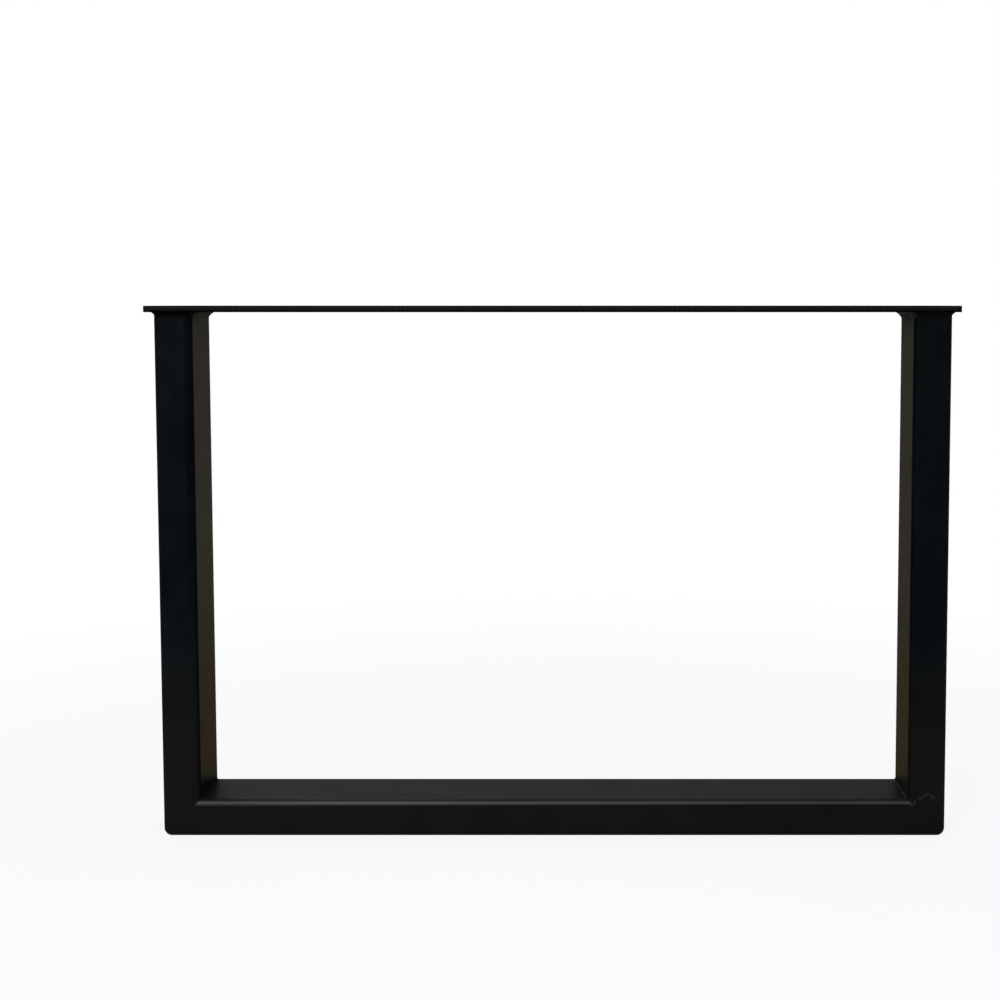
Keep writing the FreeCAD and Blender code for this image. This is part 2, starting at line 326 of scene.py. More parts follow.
def skin_rings(rings, around=True):
    """Joins rings of points, each closed on itself, into one mesh."""
    count = len(rings[0])
    vertices = [point for ring in rings for point in ring]
    faces = []
    last = len(rings) if around else len(rings) - 1
    for row in range(last):
        here = row * count
        there = (row + 1) % len(rings) * count
        for n in range(count):
            after = (n + 1) % count
            faces.append((here + n, here + after, there + after, there + n))
    if not around:
        faces.append(tuple(range(count)))
        faces.append(tuple(range((len(rings) - 1) * count, len(rings) * count)))
    return vertices, faces


def rounded_rectangle(centre, half, radius, steps, lead):
    """Gives the points of a rectangle with round corners.

    A lead point beside each corner keeps the shading of the flat sides flat.
    """
    points = []
    for quarter, (sign_x, sign_y) in enumerate(QUARTER_SIGNS):
        hub = Vector((
            centre[0] + sign_x * (half[0] - radius),
            centre[1] + sign_y * (half[1] - radius),
        ))
        start = QUARTER_TURN * (quarter - 1)
        end = start + QUARTER_TURN
        points.append(hub + radius * direction(start) - lead * direction(start + QUARTER_TURN))
        for step in range(steps + 1):
            angle = start + QUARTER_TURN * step / steps
            points.append(hub + radius * direction(angle))
        points.append(hub + radius * direction(end) + lead * direction(end + QUARTER_TURN))
    return points


def direction(angle):
    """Points from the origin at an angle from X towards Y."""
    return Vector((math.cos(angle), math.sin(angle)))


def dress(piece, node, material):
    """Lets a piece stand for its solid, in the given coat."""
    piece.data.materials.append(material)
    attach(piece, "root")
    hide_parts(node)


# Tube frame

MITRE_TURN = math.radians(45)
ARC_STEPS = 8
LEAST_ARC = 0.0003
LEAD = 0.0004


def corner_point(offset, turn, ground_radius):
    """Places a point that lies offset inside the frame's outline at a floor corner.

    The result is its distance from the outer side and from the floor. The outline turns
    from upright at 0 degrees, through the mitre at 45, to level at 90.
    """
    radius = max(ground_radius - offset, LEAST_ARC)
    hub = offset + radius
    return hub - radius * math.cos(turn), hub - radius * math.sin(turn)


def tube_loops(tube):
    """Gives the outer and bore outlines as points of (offset from the outer side, y)."""
    centre = (tube.face / 2, 0)
    outer_half = (tube.face / 2, tube.depth / 2)
    bore_half = (tube.face / 2 - tube.wall, tube.depth / 2 - tube.wall)
    outer = rounded_rectangle(centre, outer_half, tube.edge_radius, tube.edge_steps, LEAD)
    bore = rounded_rectangle(centre, bore_half, tube.bore_radius, tube.edge_steps, LEAD)
    return outer, bore


def upright_rings(tube, loop, side):
    """Runs a tube outline from the plate down to the mitre."""
    rings = [[(side * (OUTER_X - p.x), p.y, PLATE_LOW) for p in loop]]
    for step in range(ARC_STEPS + 1):
        turn = MITRE_TURN * step / ARC_STEPS
        ring = []
        for p in loop:
            inwards, height = corner_point(p.x, turn, tube.ground_radius)
            ring.append((side * (OUTER_X - inwards), p.y, height))
        rings.append(ring)
    return rings


def rail_rings(tube, loop):
    """Runs a tube outline along the floor from the left mitre to the right one."""
    half = []
    for step in range(ARC_STEPS + 1):
        turn = MITRE_TURN * (1 + step / ARC_STEPS)
        ring = []
        for p in loop:
            inwards, height = corner_point(p.x, turn, tube.ground_radius)
            ring.append((OUTER_X - inwards, p.y, height))
        half.append(ring)
    left = [[(-x, y, z) for x, y, z in ring] for ring in half]
    return left + half[::-1]


# Weld beads

# How deep the beads' backs reach into plate and tube, so that no light shows between
SINK = 0.00015

# Least samples on each stretch of a bead's way
LEAST_SAMPLES = 4

# Bow of a ripple, as a share of the pitch, and the power that makes its groove narrow
RIPPLE_BOW = 0.45
RIPPLE_POWER = 0.7

# Unevenness of a bead as waves to a metre and size, which is a share of the leg or of
# the height, and metres for the swell
LEG_NOISE = (260, 0.2)
HEIGHT_NOISE = (210, 0.25)
SWELL_NOISE = (500, 0.00012)

# Height of the light bead under the plate, as a share of its leg
PLATE_BEAD_RISE = 0.85

# How hollow the beads are, from 0, flat, to 1, a full quarter round
PLATE_HOLLOW = 0.35
PLATE_INNER_HOLLOW = 0.75
CORNER_HOLLOW = 0.5

# Ends of a floor corner's bead: how far short of the face it stops, as a share of the
# edge radius, how suddenly it tapers, and the least share of its leg that is left
CORNER_STOP = 0.3
CORNER_TAPER_REACH = 1.002
CORNER_TAPER_POWER = 8
CORNER_LEAST = 0.12


def outline_walk(half, radius, step):
    """Walks round a rounded rectangle, giving points, outward directions and the way gone."""
    samples = []
    gone = 0.0
    for quarter, (sign_x, sign_y) in enumerate(QUARTER_SIGNS):
        hub = Vector((sign_x * (half[0] - radius), sign_y * (half[1] - radius)))
        start = QUARTER_TURN * (quarter - 1)
        arc_length = radius * QUARTER_TURN
        arc_count = max(LEAST_SAMPLES, round(arc_length / step))
        for n in range(arc_count):
            outward = direction(start + QUARTER_TURN * n / arc_count)
            samples.append((hub + radius * outward, outward, gone + arc_length * n / arc_count))
        gone += arc_length
        outward = direction(start + QUARTER_TURN)
        side_half = half[1] if quarter % 2 == 0 else half[0]
        run = 2 * (side_half - radius)
        along = direction(start + math.pi)
        run_count = max(LEAST_SAMPLES, round(run / step))
        for n in range(run_count):
            way = run * n / run_count
            samples.append((hub + radius * outward + along * way, outward, gone + way))
        gone += run
    return samples, gone


def ripple(way, across, pitch):
    """Gives the height, from 0 to 1, of the curved ripples that a bead freezes into."""
    phase = way / pitch + RIPPLE_BOW * (2 * across - 1) ** 2
    return 1 - abs(math.sin(math.pi * phase)) ** RIPPLE_POWER


def uneven(place, waves, size, shift=(0, 0, 0)):
    """Gives a smooth irregular value of about size at most, the same in every run."""
    return noise.noise(place * waves + Vector(shift)) * size


def bead_profile(bead, leg, height, hollow, way, pitch, place):
    """Gives a bead's closed section as (out from one face, away from the other) distances."""
    leg = leg * (1 + uneven(place, *LEG_NOISE))
    height = height * (1 + uneven(place, *HEIGHT_NOISE, shift=(9, 0, 0)))
    swell = uneven(place, *SWELL_NOISE, shift=(0, 5, 0))
    section = []
    for n in range(bead.profile_steps + 1):
        across = n / bead.profile_steps
        angle = across * QUARTER_TURN
        out = hollow * (1 - math.cos(angle)) + (1 - hollow) * across
        away = hollow * (1 - math.sin(angle)) + (1 - hollow) * (1 - across)
        crown = math.sin(math.pi * across)
        lift = crown * (bead.ripple_height * ripple(way, across, pitch) + swell)
        slant = lift / math.sqrt(2)
        section.append((leg * out + slant, height * away + slant))
    return [(-SINK, section[0][1])] + section + [(section[-1][0], -SINK), (-SINK, -SINK)]


def plate_bead_rings(tube, bead, side):
    """Lays a bead round the top of an upright, heaviest on the inner side."""
    half = (tube.face / 2, tube.depth / 2)
    samples, length = outline_walk(half, tube.edge_radius, bead.sample_step)
    pitch = length / round(length / bead.ripple_pitch)
    middle_x = side * (OUTER_X - tube.face / 2)
    rings = []
    for point, outward, way in samples:
        inner = max(0.0, -side * outward.x)
        outer = max(0.0, side * outward.x)
        leg = bead.side_leg
        leg += (bead.inner_leg - bead.side_leg) * inner ** 2
        leg += (bead.outer_leg - bead.side_leg) * outer ** 2
        height = leg * PLATE_BEAD_RISE
        if side > 0:
            leg = leg * bead.heavy_side
            height = leg
        hollow = PLATE_HOLLOW + (PLATE_INNER_HOLLOW - PLATE_HOLLOW) * inner
        place = Vector((middle_x + point.x, point.y, PLATE_LOW))
        ring = []
        for out, down in bead_profile(bead, leg, height, hollow, way, pitch, place):
            flat = point + outward * out
            ring.append((middle_x + flat.x, flat.y, PLATE_LOW - down))
        rings.append(ring)
    return rings


def corner_bead_rings(tube, bead, side):
    """Lays a bead along an inner floor corner, tapering over the round edges at its ends."""
    inner_x = OUTER_X - tube.face
    reach = tube.depth / 2 - CORNER_STOP * tube.edge_radius
    count = round(2 * reach / bead.sample_step)
    flat_reach = tube.depth / 2 - tube.edge_radius
    rings = []
    for n in range(count + 1):
        y = -reach + 2 * reach * n / count
        over = max(0.0, abs(y) - flat_reach)
        drop = tube.edge_radius - math.sqrt(tube.edge_radius ** 2 - over ** 2)
        gone = abs(y) / (reach * CORNER_TAPER_REACH)
        taper = math.sqrt(max(0.0, 1 - gone ** CORNER_TAPER_POWER))
        leg = bead.corner_leg * max(CORNER_LEAST, taper)
        place = Vector((side * inner_x, y, tube.face))
        section = bead_profile(bead, leg, leg, CORNER_HOLLOW, y + reach, bead.ripple_pitch, place)
        ring = []
        for out, up in section:
            ring.append((side * (inner_x + drop - out), y, tube.face - drop + up))
        rings.append(ring)
    return rings


# Mounting plate

CORNER_STEPS = 8
HOLE_STEPS = 48
EASED_EDGE_STEPS = 3
MERGE_DISTANCE = 1e-6


def plate_outline(curve, points):
    """Adds a closed outline to a flat curve."""
    spline = curve.splines.new("POLY")
    spline.points.add(len(points) - 1)
    for target, point in zip(spline.points, points):
        target.co = (point.x, point.y, 0, 1)
    spline.use_cyclic_u = True


def plate_mesh(plate):
    """Cuts the plate with its screw holes out of a filled outline with eased edges."""
    low, high = PLATE_BOX
    half = ((high[0] - low[0]) / 2, (high[1] - low[1]) / 2)
    thickness = high[2] - low[2]
    curve = bpy.data.curves.new("mounting_plate_outline", "CURVE")
    curve.dimensions = "2D"
    curve.fill_mode = "BOTH"
    curve.bevel_depth = plate.edge_radius
    curve.bevel_resolution = EASED_EDGE_STEPS
    curve.offset = -plate.edge_radius
    curve.extrude = thickness / 2 - plate.edge_radius
    plate_outline(curve, rounded_rectangle((0, 0), half, plate.corner_radius, CORNER_STEPS, LEAD))
    for column in range(plate.hole_columns):
        x = plate.end_spacing * (column / (plate.hole_columns - 1) - 0.5)
        for sign in (-1, 1):
            centre = Vector((x, sign * plate.row_spacing / 2))
            turns = [math.tau * n / HOLE_STEPS for n in range(HOLE_STEPS)]
            plate_outline(curve, [centre + plate.hole_radius * direction(turn) for turn in turns])
    holder = bpy.data.objects.new("mounting_plate_outline", curve)
    bpy.context.scene.collection.objects.link(holder)
    bpy.context.view_layer.update()
    mesh = bpy.data.meshes.new_from_object(holder)
    bpy.data.objects.remove(holder)
    bpy.data.curves.remove(curve)
    builder = bmesh.new()
    builder.from_mesh(mesh)
    bmesh.ops.remove_doubles(builder, verts=builder.verts, dist=MERGE_DISTANCE)
    bmesh.ops.recalc_face_normals(builder, faces=builder.faces)
    bmesh.ops.translate(builder, verts=builder.verts, vec=(0, 0, (low[2] + high[2]) / 2))
    builder.to_mesh(mesh)
    builder.free()
    return mesh


# Shader maths

# Sockets of a Mix node that mixes colours: its factor, the two colours and the result
MIX_FACTOR = 0
MIX_FIRST = 6
MIX_SECOND = 7
MIX_RESULT = 2


class Value:
    """A socket that takes part in expressions, each of which adds its Math node."""

    def __init__(self, shader, socket):
        self.shader = shader
        self.socket = socket

    def math(self, operation, first, second=0.0):
        """Adds a Math node for two values or numbers."""
        return self.shader.node("ShaderNodeMath", {"operation": operation}, {0: first, 1: second})

    def __add__(self, other):
        return self.math("ADD", self, other)

    def __radd__(self, other):
        return self.math("ADD", other, self)

    def __sub__(self, other):
        return self.math("SUBTRACT", self, other)

    def __rsub__(self, other):
        return self.math("SUBTRACT", other, self)

    def __mul__(self, other):
        return self.math("MULTIPLY", self, other)

    def __rmul__(self, other):
        return self.math("MULTIPLY", other, self)

    def __pow__(self, other):
        return self.math("POWER", self, other)

    def __neg__(self):
        return self.math("SUBTRACT", 0.0, self)

    def __abs__(self):
        return self.math("ABSOLUTE", self)

    def sign(self):
        """Gives -1 left of zero and 1 right of it."""
        return self.math("SIGN", self)

    def larger(self, other):
        """Gives the larger of two values."""
        return self.math("MAXIMUM", self, other)

    def clamped(self):
        """Keeps the value from 0 to 1."""
        return self.math("MINIMUM", self.larger(0.0), 1.0)


class Shader:
    """Builds the node tree of a material or of the world."""

    def __init__(self, tree):
        self.tree = tree
        tree.nodes.clear()

    def node(self, kind, settings=None, inputs=None, output=0):
        """Adds a node, sets it up, then gives its sockets their values or links."""
        node = self.tree.nodes.new(kind)
        for name, value in (settings or {}).items():
            setattr(node, name, value)
        for name, value in (inputs or {}).items():
            if isinstance(value, Value):
                self.tree.links.new(value.socket, node.inputs[name])
            else:
                node.inputs[name].default_value = value
        return Value(self, node.outputs[output]) if len(node.outputs) else node

    def axes(self):
        """Gives the place on the object as three values, and the vector itself."""
        place = self.node("ShaderNodeTexCoord", output="Object")
        parts = [self.node("ShaderNodeSeparateXYZ", inputs={0: place}, output=n) for n in range(3)]
        return (*parts, place)

    def normal(self):
        """Gives the way that the surface faces as three values."""
        facing = self.node("ShaderNodeNewGeometry", output="Normal")
        return [self.node("ShaderNodeSeparateXYZ", inputs={0: facing}, output=n) for n in range(3)]

    def noise(self, place, scale, detail, roughness):
        """Gives smooth irregular values about a mean of one half."""
        return self.node(
            "ShaderNodeTexNoise",
            inputs={"Vector": place, "Scale": scale, "Detail": detail, "Roughness": roughness},
        )

    def ramp(self, value, low, high):
        """Rises smoothly from 0 at low to 1 at high."""
        return self.node(
            "ShaderNodeMapRange", {"interpolation_type": "SMOOTHSTEP"},
            {"Value": value, "From Min": low, "From Max": high},
        )

    def blend(self, factor, first, second):
        """Mixes two colours."""
        sockets = {MIX_FACTOR: factor, MIX_FIRST: first, MIX_SECOND: second}
        return self.node("ShaderNodeMix", {"data_type": "RGBA"}, sockets, output=MIX_RESULT)


def opaque(colour):
    """Adds full alpha to a colour."""
    return (*colour, 1.0)


def new_shader(name):
    """Makes a material with an empty node tree."""
    material = bpy.data.materials.new(name)
    material.use_nodes = True
    return material, Shader(material.node_tree)


# Where the coat differs. A pair of numbers is the limits between which a mask rises or,
# in a name with ENDS, the values at the left and right ends of the leg. A facing is 0 on
# a surface seen from the side and 1 on one seen straight on. Lengths are in metres.

FRONT_FACING = (0.93, 0.99)
INSIDE_FACING = (0.93, 0.995)
OUTSIDE_FACING = (0.45, 0.95)
TOP_FACING = (0.70, 0.92)
LEVEL_FACING = (0.97, 0.995)
BACK_BEND_START = (0.15, 0.5)
BACK_BEND_STOP = (0.9, 0.98)
LOW_HEIGHTS = (0.08, 0.25)
RAIL_FADE = 0.0004

# Line of gloss along the rail's upper front bend, with a fainter tail above it
LINE_START_ENDS = (0.0, 0.1)
LINE_FULL_ENDS = (0.12, 0.46)
LINE_UPPER = (0.5, 0.82)
TAIL_UPPER = (0.12, 0.38)
TAIL_LOWER = (0.42, 0.58)
TAIL_GLOSS = 0.7
TAIL_LOWER_LOSS = 0.35
TAIL_ENDS = (1.0, 0.6)

# Painted shade on the uprights' bends beside the opening: a narrow band along the inner
# side and, on the left upright, a wide one that is darkest high up and near the rail
BEND_SHADE_FACING = (0.08, 0.3)
BEND_SHADE_ABOVE_RAIL = (-0.003, 0.0)
BEND_SHADE_START = (-0.0003, 0.0)
NARROW_STOP = (0.0012, 0.0026)
NARROW_ENDS = (0.45, 0.20)
WIDE_STOP = (0.0056, 0.0070)
WIDE_SHADE = 0.12
WIDE_HIGH = (0.17, 0.29)
WIDE_HIGH_SHADE = 0.3
WIDE_ABOVE_RAIL = (0.01, 0.03)
WIDE_RAIL_SHADE = 0.15

# Gloss along the rail's bend: smoother left of the middle and duller on the right
FLOW_MEAN = 1.04
SMOOTH_START = (-0.25, -0.17)
SMOOTH_STOP = (-0.13, -0.05)
SMOOTH_GAIN = 0.24
DULL_START = (0.08, 0.18)
DULL_LOSS = 0.12

# Plate: heights above its underside, then above its top; over EDGE_START painted shade low on the edge
# gives way to the paler edge
PLATE_START = (-0.0003, 0.0002)
EDGE_START = (0.0004, 0.0030)
EDGE_STOP = (-0.0008, -0.0002)
EASED_START = (-0.0006, -0.0002)

# Painted shade in the inner floor corners: how far it reaches up the inner side and along
# the rail, how much further for each metre nearer the front, and its fades as shares of that
RISE = 0.0088
RISE_SLOPE = 0.25
RISE_FADE = (0.5, 1.5)
RUN = 0.0058
RUN_SLOPE = 0.118
RUN_NEAR_FADE = (0.2, 1.6)
RUN_FAR_FADE = (0.8, 4.0)
RUN_NEAR_SHADE = 0.5
RUN_FAR_SHADE = 0.3
RUN_ENDS = (1.0, 0.2)


class Places:
    """Masks for the parts of the leg where the coat differs or where light or shade is painted, from
    place and facing.
    """

    def __init__(self, shader):
        self.shader = shader
        self.x, self.y, self.z, self.place = shader.axes()
        across, back, up = shader.normal()
        front = (-back).larger(0.0)
        inwards = -(across * self.x.sign())
        on_rail = 1 - shader.ramp(self.z, RAIL_TOP, RAIL_TOP + RAIL_FADE)
        self.above_rail = self.z - RAIL_TOP
        self.beyond = abs(self.x) - INNER_X
        self.right = shader.ramp(self.x, -INNER_X, INNER_X)
        self.low = 1 - shader.ramp(self.z, *LOW_HEIGHTS)
        self.front = shader.ramp(front, *FRONT_FACING)
        self.inside = shader.ramp(inwards, *INSIDE_FACING)
        self.outside = shader.ramp(-inwards, *OUTSIDE_FACING)
        self.rail_top = shader.ramp(up, *TOP_FACING) * on_rail
        self.rail_bend = self.gloss_line(front, up) * on_rail
        self.back_bend = shader.ramp(back, *BACK_BEND_START) * (1 - shader.ramp(back, *BACK_BEND_STOP))
        # Painted shade on the bends beside the opening
        self.painted_bend_shade = self.bend_shade_bands(front)
        # Painted shade in the inner floor corners
        self.corner = self.corner_reach()

        self.on_plate = shader.ramp(self.z - PLATE_LOW, *PLATE_START)
        # Painted shade on the plate's edge, near its underside
        self.plate_edge = shader.ramp(self.z - PLATE_LOW, *EDGE_START)
        self.plate_edge = self.plate_edge * (1 - shader.ramp(self.z - PLATE_HIGH, *EDGE_STOP))
        self.plate_flat = shader.ramp(up, *LEVEL_FACING) * self.on_plate
        eased = shader.ramp(self.z - PLATE_HIGH, *EASED_START)
        self.plate_top = eased * (1 - self.plate_flat)

    def between(self, left, right):
        """Gives a number that changes smoothly from the left end of the leg to the right."""
        return left + (right - left) * self.right

    def gloss_line(self, front, up):
        """Marks the line of gloss along the rail's upper front bend."""
        shader = self.shader
        lower = shader.ramp(up, self.between(*LINE_START_ENDS), self.between(*LINE_FULL_ENDS))
        tail = TAIL_GLOSS - TAIL_LOWER_LOSS * shader.ramp(front, *TAIL_LOWER)
        tail = shader.ramp(front, *TAIL_UPPER) * tail * self.between(*TAIL_ENDS)
        return lower * shader.ramp(front, *LINE_UPPER).larger(tail)

    def bend_shade_bands(self, front):
        """Marks the painted shade on the uprights' bends beside the opening."""
        shader = self.shader
        bend = shader.ramp(front, *BEND_SHADE_FACING) * shader.ramp(self.above_rail, *BEND_SHADE_ABOVE_RAIL)
        bend = bend * shader.ramp(self.beyond, *BEND_SHADE_START)
        narrow = (1 - shader.ramp(self.beyond, *NARROW_STOP)) * self.between(*NARROW_ENDS)
        near_rail = 1 - shader.ramp(self.above_rail, *WIDE_ABOVE_RAIL)
        wide = WIDE_SHADE + WIDE_RAIL_SHADE * near_rail
        wide = wide + WIDE_HIGH_SHADE * shader.ramp(self.z, *WIDE_HIGH)
        wide = wide * (1 - shader.ramp(self.beyond, *WIDE_STOP)) * (1 - self.right)
        return bend * wide.larger(narrow)

    def flow(self):
        """Gives how the gloss changes along the rail's bend, about 1."""
        shader = self.shader
        smooth = shader.ramp(self.x, *SMOOTH_START) * (1 - shader.ramp(self.x, *SMOOTH_STOP))
        return FLOW_MEAN + SMOOTH_GAIN * smooth - DULL_LOSS * shader.ramp(self.x, *DULL_START)

    def fade(self, distance, reach, limits):
        """Falls from 1 to 0 as a distance passes two shares of a reach."""
        return 1 - self.shader.ramp(distance, limits[0] * reach, limits[1] * reach)

    def corner_reach(self):
        """Marks the painted shade in the inner floor corners, on the uprights' inner sides and on the
        rail's top.
        """
        rise = RISE - RISE_SLOPE * self.y
        run = RUN - RUN_SLOPE * self.y
        side = self.fade(self.above_rail, rise, RISE_FADE)
        near = self.fade(-self.beyond, run, RUN_NEAR_FADE)
        far = self.fade(-self.beyond, run, RUN_FAR_FADE)
        top = (RUN_NEAR_SHADE * near + RUN_FAR_SHADE * far) * self.between(*RUN_ENDS)
        return (side * self.inside).larger(top * self.rail_top)


COAT_NAME = "satin_black_coat"
NOISE_MEAN = 0.5
BUMP_STRENGTH = 0.35
PEEL_HEIGHT = 0.00006
PEEL_POWDER = 0.35

# Tone of the pigment from its mottling and grain, made paler on the left upright as painted
# light, and painted bounce light low down
MOTTLE_LIMITS = (0.36, 0.64)
MOTTLE_SHARE = 0.6
GRAIN_LIMITS = (0.38, 0.62)
LEFT_LIT_TONE_ENDS = (1.15, 0.40)
BOUNCE_HEIGHTS = (0.05, 0.19)
BOUNCE_ENDS = (0.6, 0.44)
BOUNCE_MOTTLE = 0.8
RIGHT_CORNER_SHADE_GAIN = 2.4

# Gloss, from the left end to the right, and what the painted shade in corners and on bends, and the
# back bends, take from it
RESIN_ENDS = (1.02, 0.88)
RESIN_INSIDE_ENDS = (1.16, 1.08)
RESIN_TOP_ENDS = (1.12, 0.92)
RESIN_LEAST = 0.7
RESIN_MOTTLE = 0.6
INSIDE_LOW_LOSS = 0.25
INSIDE_DEPTH_GAIN = 3.0
CORNER_LOSS = 0.75
BACK_BEND_LOSS = 0.5
PLATE_TOP_LOSS = 0.9

# Roughness that the mottling, the grain and the rubbed marks add
ROUGH_MOTTLE = 0.10
ROUGH_GRAIN = 0.06
ROUGH_SCUFF = 0.15

# Rubbed marks on the front, each from one place (x, z) to another
SCUFF_WIDTH = 0.0016
SCUFF_CORE = 0.2
SCUFF_BREAKS = (0.35, 0.6)
SCUFF_STROKES = (
    ((0.2894, 0.0306), (0.2956, 0.0348)),
    ((0.2983, 0.0334), (0.3007, 0.0312)),
    ((0.2827, 0.0252), (0.2858, 0.0280)),
)


def coat_colour(shader, look, places, mottle, grain):
    """Gives the pigment with faint mottling, painted light paler on the left, on the inner sides and
    near the floor, and painted shade in corners, on bends and low on the plate's edge.
    """
    tone = shader.ramp(mottle, *MOTTLE_LIMITS) * MOTTLE_SHARE
    tone = tone + shader.ramp(grain, *GRAIN_LIMITS) * (1 - MOTTLE_SHARE)
    # Painted light: the left upright's pigment is paler than the right's
    tone = (tone * places.between(*LEFT_LIT_TONE_ENDS)).clamped()
    colour = shader.blend(tone, opaque(look.dark), opaque(look.light))
    # Painted bounce light: paler and warmer near the floor, less on the right
    painted_bounce = 1 - shader.ramp(places.z, *BOUNCE_HEIGHTS)
    painted_bounce = painted_bounce * (places.between(*BOUNCE_ENDS) + BOUNCE_MOTTLE * mottle)
    colour = shader.blend(painted_bounce.clamped(), colour, opaque(look.painted_bounce))
    # Painted reflected light: warm, paler pigments on the inner sides
    left = shader.blend(places.low, opaque(look.left_inside_painted_light), opaque(look.left_inside_low_painted_light))
    right = shader.blend(places.low, opaque(look.right_inside_painted_light), opaque(look.right_inside_low_painted_light))
    inside = shader.blend(places.right, left, right)
    colour = shader.blend(places.inside, colour, inside)
    colour = shader.blend(places.rail_top.larger(places.outside), colour, opaque(look.plain))
    # Painted shade in the inner floor corners, paler at the right one
    right_corner_shade = [channel * RIGHT_CORNER_SHADE_GAIN for channel in look.corner]
    corner = shader.blend(places.right, opaque(look.corner), opaque(right_corner_shade))
    colour = shader.blend(places.corner, colour, corner)
    # Painted shade on the bends beside the opening
    colour = shader.blend(places.painted_bend_shade, colour, opaque(look.painted_shade))
    # Painted shade low on the plate's edge, paler above
    plate = shader.blend(places.plate_edge, opaque(look.painted_shade), opaque(look.plate))
    plate = shader.blend(places.plate_flat, plate, opaque(look.plain))
    return shader.blend(places.on_plate, colour, plate)


def coat_resin(look, places, mottle):
    """Gives the gloss, which is highest along the rail's bend and least in the corners."""
    resin = look.resin * (RESIN_LEAST + RESIN_MOTTLE * mottle) * places.between(*RESIN_ENDS)
    inside = look.resin_inside * places.between(*RESIN_INSIDE_ENDS)
    inside = inside * (1 - INSIDE_LOW_LOSS * places.low) * (1 + INSIDE_DEPTH_GAIN * places.y)
    resin = resin + (inside - look.resin) * places.inside
    top = look.resin_top * places.between(*RESIN_TOP_ENDS)
    resin = resin + (top - look.resin) * places.rail_top
    resin = resin + (look.resin_bend * places.flow() - look.resin) * places.rail_bend
    resin = resin + (look.resin_plate - look.resin) * places.on_plate
    resin = resin + (look.resin_top - look.resin_plate) * places.plate_flat
    painted_shade = (places.corner * CORNER_LOSS).larger(places.painted_bend_shade)
    painted_shade = painted_shade.larger(places.back_bend * BACK_BEND_LOSS)
    return resin * (1 - painted_shade.larger(places.plate_top * PLATE_TOP_LOSS))


def stroke_mask(shader, x, z, start, end):
    """Gives 1 on a straight rubbed mark between two places on the front, fading at its sides."""
    span = (end[0] - start[0], end[1] - start[1])
    length_squared = span[0] ** 2 + span[1] ** 2
    along = ((x - start[0]) * span[0] + (z - start[1]) * span[1]) * (1 / length_squared)
    along = along.clamped()
    away_x = x - start[0] - along * span[0]
    away_z = z - start[1] - along * span[1]
    away = (away_x * away_x + away_z * away_z) ** 0.5
    return 1 - shader.ramp(away, SCUFF_CORE * SCUFF_WIDTH, SCUFF_WIDTH)


def scuff_mask(shader, places):
    """Gives the broken, rubbed marks on the front beside the right mitre."""
    scuff = 0.0
    for start, end in SCUFF_STROKES:
        scuff = stroke_mask(shader, places.x, places.z, start, end).larger(scuff)
    breaks = shader.noise(places.place, scale=900.0, detail=2.0, roughness=0.7)
    return scuff * shader.ramp(breaks, *SCUFF_BREAKS) * places.front


def coat_surface(shader, look, colour, roughness, resin, height, distance):
    """Joins pigment and resin in one surface with a fine orange peel."""
    bump = shader.node(
        "ShaderNodeBump", inputs={"Strength": BUMP_STRENGTH, "Distance": distance, "Height": height})
    surface = shader.node(
        "ShaderNodeBsdfPrincipled",
        inputs={
            "Base Color": colour,
            "Roughness": roughness.clamped(),
            "Specular IOR Level": 0.0,
            "Coat Weight": resin.clamped(),
            "Coat Roughness": look.resin_roughness,
            "Normal": bump,
        },
    )
    shader.node("ShaderNodeOutputMaterial", inputs={"Surface": surface})


def coat_material(look):
    """Satin black powder coat of the tubes and the plate."""
    if COAT_NAME in bpy.data.materials:
        return bpy.data.materials[COAT_NAME]
    material, shader = new_shader(COAT_NAME)
    places = Places(shader)
    mottle = shader.noise(places.place, scale=26.0, detail=3.0, roughness=0.55)
    grain = shader.noise(places.place, scale=420.0, detail=2.0, roughness=0.6)
    scuff = scuff_mask(shader, places)
    colour = coat_colour(shader, look, places, mottle, grain)
    colour = shader.blend(scuff, colour, opaque(look.scuff))
    roughness = look.pigment_roughness + scuff * ROUGH_SCUFF
    roughness = roughness + (mottle - NOISE_MEAN) * ROUGH_MOTTLE + (grain - NOISE_MEAN) * ROUGH_GRAIN
    peel = shader.noise(places.place, scale=700.0, detail=1.0, roughness=0.4)
    powder = shader.noise(places.place, scale=3200.0, detail=2.0, roughness=0.6)
    resin = coat_resin(look, places, mottle)
    coat_surface(shader, look, colour, roughness, resin, peel + powder * PEEL_POWDER, PEEL_HEIGHT)
    return material


BEAD_NAME = "satin_black_bead"
LUMP_HEIGHT = 0.0002
LUMP_POWDER = 0.3
LUMP_GLOSS = 2
ROUGH_LUMPS = 0.2

# Painted shade on the beads: in the floor corners, and outside the frame and round the bends
# in front and behind, given by their distance beyond the inner side and by depth
FLOOR_SHADE_ENDS = (1.0, 0.3)
FLOOR_SHADE_LOSS = 0.85
OUTER_START = (-0.001, 0.0025)
ROUND_DEPTHS = (0.0235, 0.0295)
ROUND_LOSS_ENDS = (0.9, 0.4)
OUTER_GLOSS = 0.2

# Painted glints on the high spots, the least of them that the outer parts keep, and how pale the
# painted shade in the hollows is
GLINT_LIMITS = (0.49, 0.57)
OUTER_GLINT = 0.04
HOLLOW_ENDS = (0.0, 0.8)


